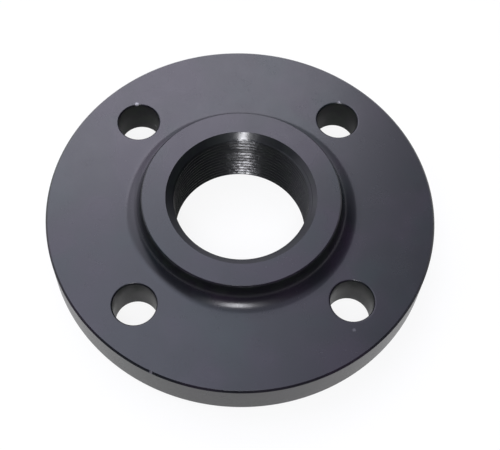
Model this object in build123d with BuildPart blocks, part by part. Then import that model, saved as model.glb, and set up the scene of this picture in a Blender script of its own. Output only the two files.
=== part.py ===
# Threaded hub flange: one forged and turned piece, drilled for four bolts and tapped for pipe.
# Millimetres. The gasket face lies on Z = 0, the hub points up +Z, and Z is the axis of the bore.
import os
from build123d import *

os.makedirs("parts", exist_ok=True)

# Disc
flange_diameter = 165.0
flange_thickness = 20.0          # over the raised gasket face
rim_edge_break = 0.8

# Raised gasket face under the disc
raised_face_diameter = 102.0
raised_face_height = 2.0
raised_face_fillet = 0.8         # where its edge meets the disc
raised_face_edge_break = 0.4

# Hub
hub_diameter = 84.0
overall_height = 30.0            # from the gasket face to the end of the hub
hub_straight = 2.5               # upright part of its side, from the end down to the fillet
hub_edge_break = 0.6

# Bore of a 2 inch parallel pipe thread, at the thread's minor diameter
thread_minor_diameter = 56.66
mouth_diameter = 63.4            # of the wide countersink that leads the pipe in
mouth_angle = 120.0              # included angle of that countersink
gasket_side_edge_break = 0.5

# Bolt holes, which straddle the X and Y axes
bolt_circle_diameter = 125.0
bolt_hole_diameter = 18.0
bolt_hole_count = 4
bolt_hole_edge_break = 0.5

# Worked out from the sizes above
rim_radius = flange_diameter / 2
raised_face_radius = raised_face_diameter / 2
hub_radius = hub_diameter / 2
hub_fillet = overall_height - flange_thickness - hub_straight      # runs the hub out into the disc
bore_radius = thread_minor_diameter / 2
mouth_radius = mouth_diameter / 2
bolt_circle_radius = bolt_circle_diameter / 2
bolt_hole_radius = bolt_hole_diameter / 2
first_hole_angle = 180.0 / bolt_hole_count

# The faces that holes start from, each looking out of the part
hub_end = Plane(origin=(0, 0, overall_height))
nut_side = Plane(origin=(0, 0, flange_thickness))
underside = Plane(origin=(0, 0, raised_face_height), z_dir=(0, 0, -1))
gasket_side = Plane(origin=(0, 0, 0), z_dir=(0, 0, -1))


def corner(sketch, radius, height):
    # The corner of the turned section nearest to this radius and height
    return sketch.vertices().sort_by_distance((radius, height))[0]


with BuildPart() as flange:

    # The blank: its half section, turned round the axis of the bore
    with BuildSketch(Plane.XZ) as section:
        with BuildLine():
            Polyline(
                (0, 0),
                (raised_face_radius, 0),
                (raised_face_radius, raised_face_height),
                (rim_radius, raised_face_height),
                (rim_radius, flange_thickness),
                (hub_radius, flange_thickness),
                (hub_radius, overall_height),
                (0, overall_height),
                close=True,
            )
        make_face()
        fillet(corner(section, hub_radius, flange_thickness), radius=hub_fillet)
        fillet(corner(section, raised_face_radius, raised_face_height), radius=raised_face_fillet)
        chamfer(corner(section, raised_face_radius, 0), length=raised_face_edge_break)
        chamfer(corner(section, rim_radius, raised_face_height), length=rim_edge_break)
        chamfer(corner(section, rim_radius, flange_thickness), length=rim_edge_break)
        chamfer(corner(section, hub_radius, overall_height), length=hub_edge_break)
    revolve(axis=Axis.Z)

    # The bore, countersunk wide where the pipe goes in and slightly on the gasket face
    with Locations(hub_end):
        CounterSinkHole(
            radius=bore_radius,
            counter_sink_radius=mouth_radius,
            counter_sink_angle=mouth_angle,
        )
    with Locations(gasket_side):
        CounterSinkHole(
            radius=bore_radius,
            counter_sink_radius=bore_radius + gasket_side_edge_break,
            counter_sink_angle=90,
        )

    # The bolt holes, drilled from the nut side, with a broken edge on both sides of the disc
    for side in (nut_side, underside):
        with Locations(side):
            with PolarLocations(bolt_circle_radius, bolt_hole_count, start_angle=first_hole_angle):
                CounterSinkHole(
                    radius=bolt_hole_radius,
                    counter_sink_radius=bolt_hole_radius + bolt_hole_edge_break,
                    counter_sink_angle=90,
                )

flange.part.label = "flange"
export_step(flange.part, "parts/flange.step")
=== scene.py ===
# A black steel threaded flange lying on a pale floor, as a builder's merchant would picture it.
# Metres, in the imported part's own frame: gasket face on z = 0, hub pointing up, bore along z.
import math

import bmesh
import bpy
import numpy as np
from mathutils import Matrix, Vector


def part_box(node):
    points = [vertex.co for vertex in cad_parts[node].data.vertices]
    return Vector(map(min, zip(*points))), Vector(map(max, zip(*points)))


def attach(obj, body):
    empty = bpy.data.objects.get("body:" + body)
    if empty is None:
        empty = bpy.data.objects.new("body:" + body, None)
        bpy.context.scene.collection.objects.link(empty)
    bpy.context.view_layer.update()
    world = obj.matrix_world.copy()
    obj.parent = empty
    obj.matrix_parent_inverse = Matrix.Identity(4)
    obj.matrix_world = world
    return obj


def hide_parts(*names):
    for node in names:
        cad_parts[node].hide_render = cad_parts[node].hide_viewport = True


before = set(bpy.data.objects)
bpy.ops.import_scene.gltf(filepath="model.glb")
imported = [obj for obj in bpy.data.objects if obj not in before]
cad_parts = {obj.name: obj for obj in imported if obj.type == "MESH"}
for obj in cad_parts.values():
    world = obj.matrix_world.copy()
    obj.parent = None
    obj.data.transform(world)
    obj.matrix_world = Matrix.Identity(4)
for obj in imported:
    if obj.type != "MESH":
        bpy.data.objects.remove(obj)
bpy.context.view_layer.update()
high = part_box("flange")[1]       # the corner of the part's box that is farthest along x, y and z
mm = 0.001

scene = bpy.context.scene
scene.view_settings.view_transform = "Standard"


viewpoint = {
    "lens": 74.97,               # millimetres, as Blender wants them
    "sensor": 36,
    "target": Vector((0, 0, 20 * mm)),
    "distance": 442.83 * mm,
    "elevation": 60.53,          # degrees above the floor
    "heading": -3.465,           # degrees round the axis, from the front
    "yaw": 0.534,                # small turns after aiming at the target
    "pitch": -0.949,
    "roll": 2.312,
}


def placeCamera(setup):
    lens = bpy.data.cameras.new("productCamera")
    lens.lens = setup["lens"]
    lens.sensor_width = setup["sensor"]
    camera = bpy.data.objects.new("productCamera", lens)
    scene.collection.objects.link(camera)
    scene.camera = camera

    def turn(name, axis, sign=1):
        return Matrix.Rotation(sign * math.radians(setup[name]), 4, axis)

    lean = Matrix.Rotation(math.radians(90 - setup["elevation"]), 4, "X")
    aim = turn("heading", "Z") @ lean
    trim = turn("yaw", "Y", -1) @ turn("pitch", "X") @ turn("roll", "Z")
    back = Matrix.Translation((0, 0, setup["distance"]))
    camera.matrix_world = Matrix.Translation(setup["target"]) @ aim @ back @ trim


placeCamera(viewpoint)
print("camera placed")


def softened(corners):
    # A section line whose corners are rounded: each corner is (radius, height, rounding, steps)
    line = []
    for index, (radius, height, rounding, steps) in enumerate(corners):
        here = Vector((radius, height))
        if not rounding:
            line.append(tuple(here))
            continue
        before = (Vector(corners[index - 1][:2]) - here).normalized()
        after = (Vector(corners[index + 1][:2]) - here).normalized()
        half = before.angle(after) / 2
        centre = here + (before + after).normalized() * rounding / math.sin(half)
        start = here + before * rounding / math.tan(half) - centre
        end = here + after * rounding / math.tan(half) - centre
        first = math.atan2(start.y, start.x)
        sweep = (math.atan2(end.y, end.x) - first + math.pi) % (2 * math.pi) - math.pi
        for step in range(steps + 1):
            angle = first + sweep * step / steps
            line.append((centre.x + rounding * math.cos(angle), centre.y + rounding * math.sin(angle)))
    return line


def skin(bm, one, two):
    # Quads between two closed rings with the same number of points
    for here in range(len(one)):
        there = (here + 1) % len(one)
        bm.faces.new((one[here], one[there], two[there], two[here]))


def turnedRing(bm, radius, height, steps):
    # A ring round the z axis; radius and height are numbers, or one value for each step
    angles = np.arange(steps) * 2 * math.pi / steps
    radii = np.broadcast_to(radius, steps)
    heights = np.broadcast_to(height, steps)
    return [
        bm.verts.new((r * math.cos(a), r * math.sin(a), z))
        for r, a, z in zip(radii, angles, heights)
    ]


def turnedSkin(bm, line, steps, start=None):
    # Turns a section line round the axis, carrying on from the ring before it; returns the last ring
    ring = start
    for radius, height in line:
        after = turnedRing(bm, radius, height, steps)
        if ring:
            skin(bm, ring, after)
        ring = after
    return ring


blank = {
    "steps": 256,                        # round the axis
    "rimRadius": high[0],
    "hubEnd": high[2],
    "discTop": 20 * mm,
    "discUnder": 2 * mm,
    "rimBreak": 0.8 * mm,
    "hubRadius": 42 * mm,
    "hubBreak": 0.6 * mm,
    "hubFillet": 7.5 * mm,
    "raisedRadius": 51 * mm,
    "raisedFillet": 0.8 * mm,
    "raisedBreak": 0.4 * mm,
    "softness": 0.14 * mm,               # rounding left on the turned corners
    "cornerSteps": 3,
    "hubFilletSteps": 16,
    "raisedFilletSteps": 5,
    "sharpAngle": 32,                    # degrees, from which an edge is shaded as sharp
    "joinWithin": 0.002 * mm,            # points closer than this become one
}

drilling = {
    "circleRadius": 62.5 * mm,
    "holeRadius": 9 * mm,
    "edgeBreak": 0.5 * mm,
    "softness": 0.4 * mm,                # rounding left on its edges
    "count": 4,
    "firstAngle": 45,                    # degrees from x
    "land": 0.6 * mm,                    # flat ring kept round the broken edge
    "window": 10.5 * mm,                 # half side of the squared patch round each hole
    "windowSteps": 16,                   # along each side of it
}

gasketFace = {
    "innerRadius": 31 * mm,
    "groovePitch": 0.8 * mm,
    "grooveDepth": 0.05 * mm,
    "groovePoints": 4,                   # across each groove
}

pipeThread = {
    "pitch": 25.4 / 11 * mm,
    "crestRadius": 28.33 * mm,
    "depth": 1.479 * mm,
    "rounding": 0.3171 * mm,
    "flank": 27.5,                       # degrees, half the angle of the groove
    "roundSteps": 6,
    "lead": 1.155 * mm,                  # height of the middle of its root at bearing 0
    "mouthRadius": 31.7 * mm,
    "mouthSlope": 30,                    # degrees of the countersink above the level
    "mouthLead": 1 * mm,                 # part of the mouth that belongs to the hub's rings
    "mouthSamples": 1500,                # heights tried to find where the thread runs out in it
    "lowerBreak": 0.5 * mm,
}


def boltHoleRing(bm, centre, outward, radius, height, steps):
    # A ring round a bolt hole, starting at the corner of its window that is nearest to the axis
    sideways = Vector((-outward.y, outward.x, 0))
    corner = math.radians(225)
    ring = []
    for step in range(steps):
        angle = corner - 2 * math.pi * step / steps
        offset = outward * math.cos(angle) + sideways * math.sin(angle)
        ring.append(bm.verts.new(centre + offset * radius + Vector((0, 0, height))))
    return ring


def drilledFace(bm, inner, outer, height):
    # A flat face between two rings, left open in a squared window round each bolt hole
    steps = blank["steps"]
    rows = drilling["windowSteps"]
    half = rows // 2
    levels = [
        turnedRing(bm, drilling["circleRadius"] + drilling["window"] * (2 * row / rows - 1), height, steps)
        for row in range(rows + 1)
    ]
    middles = [
        round((drilling["firstAngle"] / 360 + hole / drilling["count"]) * steps)
        for hole in range(drilling["count"])
    ]
    inWindow = {(middle + shift) % steps for middle in middles for shift in range(-half, half)}
    for lower, upper in zip(levels, levels[1:]):
        for column in range(steps):
            if column not in inWindow:
                after = (column + 1) % steps
                bm.faces.new((lower[column], lower[after], upper[after], upper[column]))
    skin(bm, inner, levels[0])
    skin(bm, levels[-1], outer)
    windows = []
    for middle in middles:
        left, right = middle - half, middle + half
        loop = [levels[0][column % steps] for column in range(left, right)]
        loop += [levels[row][right % steps] for row in range(rows)]
        loop += [levels[-1][column % steps] for column in range(right, left, -1)]
        loop += [levels[row][left % steps] for row in range(rows, 0, -1)]
        windows.append(loop)
    return windows


def drillHoles(bm, upperWindows, lowerWindows):
    # The walls of the bolt holes, from the windows in the nut side to those in the underside
    top, under = blank["discTop"], blank["discUnder"]
    radius, edge, soft = drilling["holeRadius"], drilling["edgeBreak"], drilling["softness"]
    outside, bends = radius + edge + drilling["land"], blank["cornerSteps"]
    line = softened([
        (outside, top, 0, 0),
        (radius + edge, top, soft, bends),
        (radius, top - edge, soft, bends),
        (radius, under + edge, soft, bends),
        (radius + edge, under, soft, bends),
        (outside, under, 0, 0),
    ])
    for hole, (upper, lower) in enumerate(zip(upperWindows, lowerWindows)):
        angle = math.radians(drilling["firstAngle"] + 360 * hole / drilling["count"])
        outward = Vector((math.cos(angle), math.sin(angle), 0))
        centre = outward * drilling["circleRadius"]
        ring = upper
        for r, z in line:
            after = boltHoleRing(bm, centre, outward, r, z, len(upper))
            skin(bm, ring, after)
            ring = after
        skin(bm, ring, lower)


def threadSection():
    # One pitch of the rounded pipe thread, as (height above the middle of its root, radius)
    pitch, depth, rounding = pipeThread["pitch"], pipeThread["depth"], pipeThread["rounding"]
    steps = pipeThread["roundSteps"]
    swing = math.radians(90 - pipeThread["flank"])
    angles = [swing * (2 * step / steps - 1) for step in range(steps + 1)]
    root = [(rounding * math.sin(a), depth - rounding + rounding * math.cos(a)) for a in angles]
    crest = [(pitch / 2 + rounding * math.sin(a), rounding - rounding * math.cos(a)) for a in angles]
    return [(rise, pipeThread["crestRadius"] + reach) for rise, reach in root + crest]


def cutThread(bm):
    # The threaded wall: a grid that climbs with the right-hand thread and is held between both ends
    steps = blank["steps"]
    pitch = pipeThread["pitch"]
    rises, radii = (np.array(values) for values in zip(*threadSection()))
    loopRises = np.concatenate([rises - pitch, rises, rises + pitch])
    loopRadii = np.tile(radii, 3)
    slope = 1 / math.tan(math.radians(pipeThread["mouthSlope"]))
    turns = np.arange(steps + 1) / steps

    def threadRadius(height, turn):
        return np.interp((height - pipeThread["lead"] - pitch * turn) % pitch, loopRises, loopRadii)

    def mouthRadius(height):
        return pipeThread["mouthRadius"] - (blank["hubEnd"] - height) * slope

    def wallRadius(height, turn):
        lower = pipeThread["crestRadius"] + pipeThread["lowerBreak"] - height
        return np.maximum(np.maximum(threadRadius(height, turn), mouthRadius(height)), lower)

    # Where the countersink meets the thread, the highest point of each column that is still thread
    crestMeet = blank["hubEnd"] - (pipeThread["mouthRadius"] - pipeThread["crestRadius"]) / slope
    runOut = pipeThread["depth"] / slope
    heights = np.linspace(crestMeet, crestMeet + runOut, pipeThread["mouthSamples"])[:, None]
    isThread = threadRadius(heights, turns[None, :]) >= mouthRadius(heights) - 1e-9
    last = len(heights) - 1 - np.argmax(isThread[::-1], axis=0)
    upperEnd = heights[last, 0]

    spare, flat = 3, 1e-7                # pitches beyond each end; height below which a face is dropped
    count = int(blank["hubEnd"] / pitch) + spare
    climbs = np.concatenate([rises + pitch * number for number in range(-spare, count)])
    grid = climbs[:, None] + pitch * turns[None, :] + pipeThread["lead"]
    held = np.clip(grid, 0, upperEnd[None, :])
    reach = wallRadius(held, turns[None, :])
    angles = 2 * math.pi * turns
    verts = [
        [bm.verts.new((r * math.cos(a), r * math.sin(a), z)) for r, a, z in zip(reachRow, angles, heldRow)]
        for reachRow, heldRow in zip(reach, held)
    ]
    for row in range(len(climbs) - 1):
        for column in range(steps):
            if np.ptp(held[row:row + 2, column:column + 2], axis=0).max() < flat:
                continue
            bm.faces.new((
                verts[row][column], verts[row][column + 1],
                verts[row + 1][column + 1], verts[row + 1][column],
            ))
    return verts[0][:steps], verts[-1][:steps]


def makeFlange():
    steps = blank["steps"]
    soft, bends = blank["softness"], blank["cornerSteps"]
    top, under = blank["discTop"], blank["discUnder"]
    rim, rimBreak = blank["rimRadius"], blank["rimBreak"]
    hub, hubBreak = blank["hubRadius"], blank["hubBreak"]
    raised, raisedBreak = blank["raisedRadius"], blank["raisedBreak"]
    bm = bmesh.new()

    lowerEnd, upperEnd = cutThread(bm)
    print("thread cut")

    # From the countersink over the hub to the nut side
    slope = math.tan(math.radians(pipeThread["mouthSlope"]))
    mouth, hubEnd, lead = pipeThread["mouthRadius"], blank["hubEnd"], pipeThread["mouthLead"]
    hubLine = softened([
        (mouth - lead, hubEnd - lead * slope, 0, 0),
        (mouth, hubEnd, soft, bends),
        (hub - hubBreak, hubEnd, soft, bends),
        (hub, hubEnd - hubBreak, soft, bends),
        (hub, top, blank["hubFillet"], blank["hubFilletSteps"]),
        (rim, top, 0, 0),
    ])[:-1]
    inner = turnedSkin(bm, hubLine, steps, upperEnd)

    # Nut side, rim and underside
    rimLine = softened([
        (hub, top, 0, 0),
        (rim - rimBreak, top, soft, bends),
        (rim, top - rimBreak, soft, bends),
        (rim, under + rimBreak, soft, bends),
        (rim - rimBreak, under, soft, bends),
        (hub, under, 0, 0),
    ])[1:-1]
    rimStart = turnedRing(bm, *rimLine[0], steps)
    rimEnd = turnedSkin(bm, rimLine[1:], steps, rimStart)
    upperWindows = drilledFace(bm, inner, rimStart, top)

    # Raised gasket face with its concentric turned grooves, in to the bore
    raisedLine = softened([
        (rim, under, 0, 0),
        (raised, under, blank["raisedFillet"], blank["raisedFilletSteps"]),
        (raised, raisedBreak, soft, bends),
        (raised - raisedBreak, 0, soft, bends),
        (hub, 0, 0, 0),
    ])[1:-1]
    raisedStart = turnedRing(bm, *raisedLine[0], steps)
    lowerWindows = drilledFace(bm, raisedStart, rimEnd, under)
    groovePitch, points = gasketFace["groovePitch"], gasketFace["groovePoints"]
    outermost = raised - raisedBreak - groovePitch
    count = int((outermost - gasketFace["innerRadius"]) / groovePitch)
    grooveLine = []
    for step in range(count * points + 1):
        sink = (1 - math.cos(2 * math.pi * step / points)) / 2
        grooveLine.append((outermost - groovePitch * step / points, gasketFace["grooveDepth"] * sink))
    grooveLine.append((gasketFace["innerRadius"], 0))
    last = turnedSkin(bm, raisedLine[1:] + grooveLine, steps, raisedStart)
    skin(bm, last, lowerEnd)

    drillHoles(bm, upperWindows, lowerWindows)
    print("blank turned and drilled")

    bmesh.ops.remove_doubles(bm, verts=bm.verts, dist=blank["joinWithin"])
    bmesh.ops.delete(bm, geom=[v for v in bm.verts if not v.link_faces], context="VERTS")
    bmesh.ops.recalc_face_normals(bm, faces=bm.faces)
    for face in bm.faces:
        face.smooth = True
    mesh = bpy.data.meshes.new("flangeBody")
    bm.to_mesh(mesh)
    bm.free()
    mesh.set_sharp_from_angle(angle=math.radians(blank["sharpAngle"]))
    body = bpy.data.objects.new("flangeBody", mesh)
    scene.collection.objects.link(body)
    even = body.modifiers.new("evenShading", "WEIGHTED_NORMAL")
    even.keep_sharp = True
    return body


flangeBody = makeFlange()
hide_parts("flange")
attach(flangeBody, "root")
print("flange made,", len(flangeBody.data.polygons), "faces")


class Value:
    # One socket of a node, so that shader maths reads as plain sums
    def __init__(self, nodes, socket):
        self.nodes = nodes
        self.socket = socket

    def maths(self, operation, one, two=0):
        return self.nodes.add("ShaderNodeMath", {"operation": operation}, {0: one, 1: two})

    def __add__(self, other):
        return self.maths("ADD", self, other)

    def __radd__(self, other):
        return self.maths("ADD", other, self)

    def __sub__(self, other):
        return self.maths("SUBTRACT", self, other)

    def __rsub__(self, other):
        return self.maths("SUBTRACT", other, self)

    def __mul__(self, other):
        return self.maths("MULTIPLY", self, other)

    def __rmul__(self, other):
        return self.maths("MULTIPLY", other, self)

    def __pow__(self, other):
        return self.maths("POWER", self, other)

    def __abs__(self):
        return self.maths("ABSOLUTE", self)


class Nodes:
    # The nodes of one material or world
    def __init__(self, tree):
        self.tree = tree
        tree.nodes.clear()

    def add(self, kind, settings=None, sockets=None, output=0):
        made = self.tree.nodes.new(kind)
        for name, value in (settings or {}).items():
            if name == "stops":
                ramp = made.color_ramp.elements
                while len(ramp) < len(value):
                    ramp.new(1)
                for stop, (place, colour) in zip(ramp, value):
                    stop.position = place
                    stop.color = (*colour, 1)
            else:
                setattr(made, name, value)
        for name, value in (sockets or {}).items():
            if isinstance(value, Value):
                self.tree.links.new(value.socket, made.inputs[name])
            else:
                made.inputs[name].default_value = value
        return Value(self, made.outputs[output]) if made.outputs else None

    def smooth(self, value, start, end):
        # 0 below start, 1 above end
        return self.add(
            "ShaderNodeMapRange", {"interpolation_type": "SMOOTHSTEP"},
            {"Value": value, "From Min": start, "From Max": end},
        )

    def past(self, value, size, limits):
        # 0 to 1 between two distances past a size
        return self.smooth(value, size + limits[0], size + limits[1])

    def axes(self, vector):
        return [self.add("ShaderNodeSeparateXYZ", None, {0: vector}, output) for output in range(3)]

    def noise(self, vector, scale, detail=2, seed=0):
        return self.add(
            "ShaderNodeTexNoise", {"noise_dimensions": "4D"},
            {"Vector": vector, "W": seed, "Scale": scale, "Detail": detail},
        )

    def blend(self, share, one, two):
        # From one colour to another; each is a colour or a link
        ends = [value if isinstance(value, Value) else (*value, 1) for value in (one, two)]
        return self.add("ShaderNodeMix", {"data_type": "RGBA"}, {0: share, 6: ends[0], 7: ends[1]}, 2)


def newMaterial(name):
    material = bpy.data.materials.new(name)
    material.use_nodes = True
    return material, Nodes(material.node_tree)


blackFinish = {
    "lacquer": (0.0075, 0.008, 0.0105),
    "violetPatch": (0.014, 0.010, 0.017),
    "violetRange": (0.42, 0.62),         # of the noise, over which the tint comes in
    "greenPatch": (0.007, 0.012, 0.013),
    "greenRange": (0.5, 0.7),
    "greenFineness": 1.4,                # of its patches, beside the violet ones
    # painted shade: the whole bore darker
    "borePaintedShade": (0.004, 0.005, 0.005),
    "patchSize": 36 * mm,
    "gloss": 1.46,                       # refractive index of the lacquer
    "roughness": 0.25,
    "roughnessSpread": 0.05,
    "cloudSize": 9 * mm,
    "cloudSpread": 0.08,
    "markPitch": 0.22 * mm,              # between the marks left by turning
    "markDepth": 0.0003 * mm,
    "grainSize": 1.1 * mm,
    "grainDepth": 0.00015 * mm,
}

wetLacquer = {
    # A run of thick lacquer down the back of the bore, where it pooled on the thread and in the mouth
    "bearing": 86.5,                     # degrees from x
    "halfWidth": 7 * mm,
    "fade": (0.6, 1.3),                  # shares of the half width between which it thins out
    "raggedness": 7 * mm,
    "lumpSize": 2.8 * mm,
    "lumpDepth": 0.10 * mm,
    "mouthSmoothness": 0.7,              # share of the lumps that is missing in the mouth
    "patchSize": 2.8 * mm,
    "patchRange": (0.45, 0.55),
    "roughness": 0.2,
    "mouthRoughness": 0.15,
    "mouthHalfWidth": 1.0 * mm,
    "coatRoughness": 0.09,
    "coatShare": (0.45, 0.5),            # on the thread and in the mouth
    "gapEdge": 0.1,                      # share of a gap's half height at which the lacquer comes back
    "gaps": (
        # Where the darker, duller copy comes back on the thread within the run, painted shade in bands
        # across it: height, half height and how much
        (20.0 * mm, 3.0 * mm, 0.65),
        (12.3 * mm, 1.8 * mm, 0.35),
    ),
}

shadedSteel = {
    # A rougher, darker copy of the black finish, its darkness painted shade: on the bolt hole walls, the
    # hub side, the rim and most of the bore
    "black": (0.0032, 0.0035, 0.005),
    "green": (0.006, 0.009, 0.007),
    "blotchSize": 6 * mm,
    "blotchRange": (0.45, 0.6),
    "roughness": 0.62,
    "specular": 0.2,
    "holeShare": (0.7, 1.0),             # in the front holes and in the back ones
    "holeBlotches": 0.5,
    "holeTopShare": 0.3,                 # more of it towards the nut side, painted shade at the top of the holes
    "hubShare": 0.8,
    "rimShare": 0.35,
    "boreShare": 0.55,
    "mouthShare": 0.4,
}

chipsAndGlints = {
    # Small pale places: painted glints on the back edges of the two back bolt holes, a paler patch in one
    # hole's wall, a speck and a nick where the lacquer is chipped or dusty: middle, radius, and how far the
    # pale colour shows
    "metalAndGlint": (0.34, 0.33, 0.35),
    "spots": (
        # painted glints on the back edges of the back left and back right bolt holes
        ((-45.3 * mm, 53.8 * mm, 19.8 * mm), 1.2 * mm, 0.9),
        ((45.7 * mm, 54.0 * mm, 19.8 * mm), 0.9 * mm, 0.5),
        # a paler patch low in the wall of the back left hole
        ((-37.3 * mm, 50.0 * mm, 8.0 * mm), 1.1 * mm, 0.22),
        # a chipped or dusty speck by the front right hole, and a nick in the rim's edge
        ((43.9 * mm, -57.0 * mm, 20.0 * mm), 0.9 * mm, 0.16),
        ((-37.1 * mm, -73.4 * mm, 19.6 * mm), 0.9 * mm, 0.25),
    ),
    "core": 0.4,                         # share of a spot's radius that is fully pale
    "raggedness": 0.8,                   # fineness of its outline
    "edgeLightening": 0.05,
    "edgeLighteningSize": 4 * mm,
    "edgeLighteningRange": (0.5, 0.65),
}

areas = {
    # How far past the size in the note an area of the finish starts, and where it is full or has ended
    "boreEnd": (-0.1 * mm, 0.1 * mm),    # the mouth's radius
    "boreFoot": (0.1 * mm, 0.5 * mm),    # the gasket face
    "mouthFoot": (-1.9 * mm, -1.5 * mm),  # the hub's end
    "runFront": (0, 5 * mm),             # the plane y = 0, since the run is at the back only
    "holeEnd": (0.1 * mm, 0.4 * mm),     # a bolt hole's radius
    "holeBack": (-10 * mm, 10 * mm),     # the plane y = 0, between the front holes and the back ones
    "holeTop": (-9 * mm, 0),             # the nut side
    "hubStart": (-0.3 * mm, -0.1 * mm),  # the hub's radius
    "hubFade": (0.2 * mm, 2 * mm),       # the hub's radius
    "hubFoot": (0, 1 * mm),              # the nut side
    "hubEdge": (-0.7 * mm, -0.5 * mm),   # the hub's end
    "rimStart": (-0.3 * mm, -0.1 * mm),  # the rim's radius
    "rimEdge": (-0.8 * mm, -0.6 * mm),   # either flat side of the disc
}


def finishMasks(nodes, place, wet):
    # The bore with its mouth, the run of lacquer in it, the bolt holes, the hub's side, the rim, and the
    # edges
    x, y, z = nodes.axes(place)
    radius = (x * x + y * y) ** 0.5
    top, under, hubEnd = blank["discTop"], blank["discUnder"], blank["hubEnd"]

    bore = 1 - nodes.past(radius, pipeThread["mouthRadius"], areas["boreEnd"])
    bore = bore * nodes.past(z, 0, areas["boreFoot"])
    mouth = bore * nodes.past(z, hubEnd, areas["mouthFoot"])
    bearing = math.radians(wet["bearing"])
    ragged = (nodes.noise(place, 1 / wet["raggedness"], seed=5.2) - 0.5) * wet["raggedness"]
    aside = abs(x * math.sin(bearing) - y * math.cos(bearing)) + ragged
    aside = aside + mouth * (wet["halfWidth"] - wet["mouthHalfWidth"])
    run = 1 - nodes.smooth(aside, *(wet["halfWidth"] * share for share in wet["fade"]))
    run = run * nodes.past(y, 0, areas["runFront"]) * bore

    centre = drilling["circleRadius"] * math.cos(math.radians(drilling["firstAngle"]))
    besideX, besideY = abs(x) - centre, abs(y) - centre
    fromHole = (besideX * besideX + besideY * besideY) ** 0.5
    hole = 1 - nodes.past(fromHole, drilling["holeRadius"], areas["holeEnd"])

    hub = nodes.past(radius, blank["hubRadius"], areas["hubStart"])
    hub = hub * (1 - nodes.past(radius, blank["hubRadius"], areas["hubFade"]))
    hub = hub * nodes.past(z, top, areas["hubFoot"])
    rim = nodes.past(radius, blank["rimRadius"], areas["rimStart"])
    fromMiddle = abs(z - (top + under) / 2)
    edges = nodes.past(z, hubEnd, areas["hubEdge"]) * hub
    edges = edges + nodes.past(fromMiddle, (top - under) / 2, areas["rimEdge"]) * rim
    return {"bore": bore, "mouth": mouth, "run": run, "hole": hole, "hub": hub, "rim": rim, "edges": edges}


def paleMarksAndGlints(nodes, place, marksAndGlints, edges):
    # Chips, painted glints, and a slight lightening in places along the edges of the hub and the rim
    paleShare = 0
    for middle, size, share in marksAndGlints["spots"]:
        away = nodes.add("ShaderNodeVectorMath", {"operation": "DISTANCE"}, {0: place, 1: middle}, 1)
        away = away + (nodes.noise(place, marksAndGlints["raggedness"] / size, 1, seed=2.2) - 0.5) * size
        paleShare = paleShare + (1 - nodes.smooth(away, size * marksAndGlints["core"], size)) * share
    lighterInPlaces = nodes.smooth(nodes.noise(place, 1 / marksAndGlints["edgeLighteningSize"], 3, seed=6.4), *marksAndGlints["edgeLighteningRange"])
    return paleShare + edges * lighterInPlaces * marksAndGlints["edgeLightening"]


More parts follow.
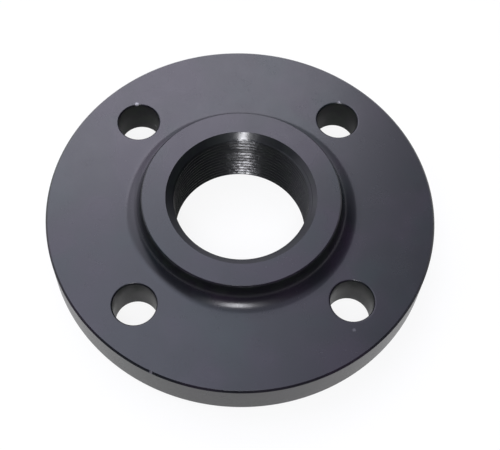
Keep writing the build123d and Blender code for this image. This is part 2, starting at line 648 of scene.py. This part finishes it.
def blackSteel(finish, wet, shadeCopy, marksAndGlints):
    material, nodes = newMaterial("blackSteel")
    place = nodes.add("ShaderNodeTexCoord", output=3)
    x, y, z = nodes.axes(place)
    on = finishMasks(nodes, place, wet)
    # Pale chips and painted glints, and edges lighter in places
    paleShare = paleMarksAndGlints(nodes, place, marksAndGlints, on["edges"])

    # Slow patches of tint in the lacquer
    violet = nodes.smooth(nodes.noise(place, 1 / finish["patchSize"]), *finish["violetRange"])
    greenNoise = nodes.noise(place, finish["greenFineness"] / finish["patchSize"], seed=3.7)
    tint = nodes.blend(violet, finish["lacquer"], finish["violetPatch"])
    tint = nodes.blend(nodes.smooth(greenNoise, *finish["greenRange"]), tint, finish["greenPatch"])
    # Painted shade: darker all through the bore
    tint = nodes.blend(on["bore"], tint, finish["borePaintedShade"])
    tint = nodes.blend(paleShare, tint, marksAndGlints["metalAndGlint"])

    # Fine turning marks round the axis, the slight unevenness of the coat, and lumps of it on the thread
    radius = (x * x + y * y) ** 0.5
    ringPlace = nodes.add("ShaderNodeCombineXYZ", None, {0: radius, 1: z})
    marks = nodes.noise(ringPlace, 1 / finish["markPitch"])
    grain = nodes.noise(place, 1 / finish["grainSize"], 3)
    lumpy = on["bore"] - on["mouth"] * wet["mouthSmoothness"]
    lumps = nodes.noise(place, 1 / wet["lumpSize"], 1, seed=1.3) * lumpy
    depth = wet["lumpDepth"]
    height = lumps + marks * (finish["markDepth"] / depth) + grain * (finish["grainDepth"] / depth)
    bump = nodes.add("ShaderNodeBump", None, {"Strength": 1, "Distance": depth, "Height": height})

    clouds = nodes.noise(place, 1 / finish["cloudSize"], seed=4.6) - 0.5
    rough = finish["roughness"] + (grain - 0.5) * (finish["roughnessSpread"] * 2)
    rough = rough + on["bore"] * (wet["roughness"] - finish["roughness"])
    rough = rough + on["mouth"] * on["run"] * (wet["mouthRoughness"] - wet["roughness"])
    rough = rough + clouds * finish["cloudSpread"]
    pooled = nodes.smooth(nodes.noise(place, 1 / wet["patchSize"], seed=8.1), *wet["patchRange"])
    threadCoat, mouthCoat = wet["coatShare"]
    lacquer = nodes.add(
        "ShaderNodeBsdfPrincipled", None,
        {
            "Base Color": tint, "Roughness": rough, "Normal": bump, "IOR": finish["gloss"],
            "Coat Weight": on["run"] * (pooled * threadCoat + on["mouth"] * mouthCoat),
            "Coat Roughness": wet["coatRoughness"],
        },
    )

    # Painted shade: a rougher, darker copy of the finish, with slow greenish blotches, mixed in on the hole
    # walls, hub side, rim and bore
    blotches = nodes.noise(place, 1 / shadeCopy["blotchSize"], seed=9.3)
    shadeTint = nodes.blend(nodes.smooth(blotches, *shadeCopy["blotchRange"]), shadeCopy["black"], shadeCopy["green"])
    shadedFinish = nodes.add(
        "ShaderNodeBsdfPrincipled", None,
        {
            "Base Color": nodes.blend(paleShare, shadeTint, marksAndGlints["metalAndGlint"]), "Roughness": shadeCopy["roughness"],
            "Specular IOR Level": shadeCopy["specular"],
        },
    )
    frontShare, backShare = shadeCopy["holeShare"]
    holeShade = frontShare + nodes.past(y, 0, areas["holeBack"]) * (backShare - frontShare)
    holeShade = holeShade + (blotches - 0.5) * shadeCopy["holeBlotches"]
    holeShade = holeShade + nodes.past(z, blank["discTop"], areas["holeTop"]) * shadeCopy["holeTopShare"]
    boreShade = shadeCopy["boreShare"] + on["mouth"] * (shadeCopy["mouthShare"] - shadeCopy["boreShare"])
    shadeShare = on["hole"] * holeShade + on["hub"] * shadeCopy["hubShare"] + on["rim"] * shadeCopy["rimShare"]
    shadeShare = shadeShare + (on["bore"] - on["run"]) * boreShade
    # Painted shade in bands across the run, with ragged outlines
    raggedGap = (nodes.noise(place, 1 / wet["lumpSize"], seed=7.7) - 0.5) * wet["lumpSize"]
    for middle, reach, share in wet["gaps"]:
        gap = 1 - nodes.smooth(abs(z - middle) + raggedGap, reach * wet["gapEdge"], reach)
        shadeShare = shadeShare + on["run"] * gap * share
    shader = nodes.add("ShaderNodeMixShader", None, {0: shadeShare, 1: lacquer, 2: shadedFinish})
    nodes.add("ShaderNodeOutputMaterial", None, {"Surface": shader})
    return material


flangeBody.data.materials.append(blackSteel(blackFinish, wetLacquer, shadedSteel, chipsAndGlints))
print("finish on")


paperFloor = {
    "size": 20,                          # metres from the middle to each side
    "cuts": 8,
    "white": (0.90, 0.93),
    "mottle": 17 * mm,
    "mottleRange": (0.3, 0.7),           # of the noise, over which the one white turns into the other
    "roughness": 0.9,
    "glow": 0.88,                        # share of plain white that a camera or a mirror sees
}


def makeFloor(setup):
    bm = bmesh.new()
    reach = setup["size"]
    sides = ((-1, -1), (1, -1), (1, 1), (-1, 1))
    bm.faces.new([bm.verts.new((across * reach, along * reach, 0)) for across, along in sides])
    bmesh.ops.subdivide_edges(bm, edges=bm.edges, cuts=setup["cuts"], use_grid_fill=True)
    mesh = bpy.data.meshes.new("studioFloor")
    bm.to_mesh(mesh)
    bm.free()
    floor = bpy.data.objects.new("studioFloor", mesh)
    scene.collection.objects.link(floor)

    material, nodes = newMaterial("whiteFloor")
    place = nodes.add("ShaderNodeTexCoord", output=3)
    paper = nodes.noise(place, 1 / setup["mottle"], 3)
    greys = [(share, (level,) * 3) for share, level in zip(setup["mottleRange"], setup["white"])]
    white = nodes.add("ShaderNodeValToRGB", {"stops": greys}, {"Fac": paper})
    look = {"Base Color": white, "Roughness": setup["roughness"]}
    matte = nodes.add("ShaderNodeBsdfPrincipled", None, look)
    glow = nodes.add("ShaderNodeEmission", None, {"Color": (1, 1, 1, 1), "Strength": 1.0})
    camera, glossy, transmission = (nodes.add("ShaderNodeLightPath", output=ray) for ray in (0, 3, 6))
    share = (camera + glossy + transmission) * setup["glow"]
    shader = nodes.add("ShaderNodeMixShader", None, {0: share, 1: matte, 2: glow})
    nodes.add("ShaderNodeOutputMaterial", None, {"Surface": shader})
    mesh.materials.append(material)
    return floor


makeFloor(paperFloor)

lamps = {
    # The bearing is in degrees from x, anticlockwise from above, and sizes are in metres. The level is the
    # brightness of the lamp's own face.
    "backSoftbox": {
        "bearing": 100, "elevation": 50.5, "distance": 1.3, "width": 0.76, "height": 0.38, "level": 4.0,
        "colour": (1.0, 0.98, 1.13),
    },
    "frontLamp": {
        "bearing": -93.5, "elevation": 57, "distance": 1.0, "width": 0.14, "height": 0.36, "level": 27,
        "colour": (1.0, 1.0, 1.05),
    },
}


def skyward(bearing, elevation):
    # The direction of a bearing and a height above the horizon, both in degrees
    bearing, elevation = math.radians(bearing), math.radians(elevation)
    level = math.cos(elevation)
    return Vector((level * math.cos(bearing), level * math.sin(bearing), math.sin(elevation)))


def hangLamp(name, setup):
    light = bpy.data.lights.new(name, "AREA")
    light.shape = "RECTANGLE"
    light.size = setup["width"]
    light.size_y = setup["height"]
    light.energy = setup["level"] * math.pi * setup["width"] * setup["height"]
    light.color = setup["colour"]
    lamp = bpy.data.objects.new(name, light)
    scene.collection.objects.link(lamp)
    away = skyward(setup["bearing"], setup["elevation"])
    lamp.location = away * setup["distance"]
    lamp.rotation_euler = away.to_track_quat("Z", "Y").to_euler()


for name, setup in lamps.items():
    hangLamp(name, setup)

# The room is dim, with a pale wall behind, a pale panel to the left, a ceiling and some spill in front
roomLight = {
    "dim": 0.04,
    # Each spread says how far towards its direction a light starts and is full, as a cosine
    "wall": {"bearing": 106, "elevation": 0, "spread": (0.12, 1.0), "level": 1.35},
    "panel": {"bearing": 155, "elevation": 38, "spread": (0.87, 0.95), "level": 1.3},
    "ceiling": {"bearing": 133, "elevation": 0, "spread": (0.12, 0.32), "level": 2.7},
    "zenith": {"bearing": 0, "elevation": 90, "spread": (0.88, 1.0), "level": 0.95},
    "spill": {"bearing": -93.5, "elevation": 54, "spread": (0.86, 0.985), "level": 0.3},
    "ceilingRise": (0.79, 0.93),         # sine of the height at which the ceiling starts and is full
    "horizon": 0.9,                      # level of the pale band that the floor runs out into
    "horizonTop": 0.09,                  # sine of its height
    "wallColour": (1.0, 0.98, 1.15),
    "ceilingColour": (1.0, 1.05, 1.28),
}


def lightRoom(setup):
    world = bpy.data.worlds.new("studio")
    scene.world = world
    world.use_nodes = True
    nodes = Nodes(world.node_tree)
    place = nodes.add("ShaderNodeTexCoord")
    up = nodes.axes(place)[2]
    rise = nodes.smooth(up, *setup["ceilingRise"])
    strength = setup["dim"] + (1 - nodes.smooth(up, 0, setup["horizonTop"])) * setup["horizon"]
    for name in ("wall", "panel", "ceiling", "zenith", "spill"):
        light = setup[name]
        aim = skyward(light["bearing"], light["elevation"])
        cosine = nodes.add("ShaderNodeVectorMath", {"operation": "DOT_PRODUCT"}, {0: place, 1: aim}, 1)
        share = nodes.smooth(cosine, *light["spread"])
        if name == "ceiling":
            share = share * rise
        strength = strength + share * light["level"]
    colour = nodes.blend(rise, setup["wallColour"], setup["ceilingColour"])
    air = nodes.add("ShaderNodeBackground", None, {"Color": colour, "Strength": strength})
    nodes.add("ShaderNodeOutputWorld", None, {"Surface": air})


lightRoom(roomLight)
print("floor, lamps and world ready")
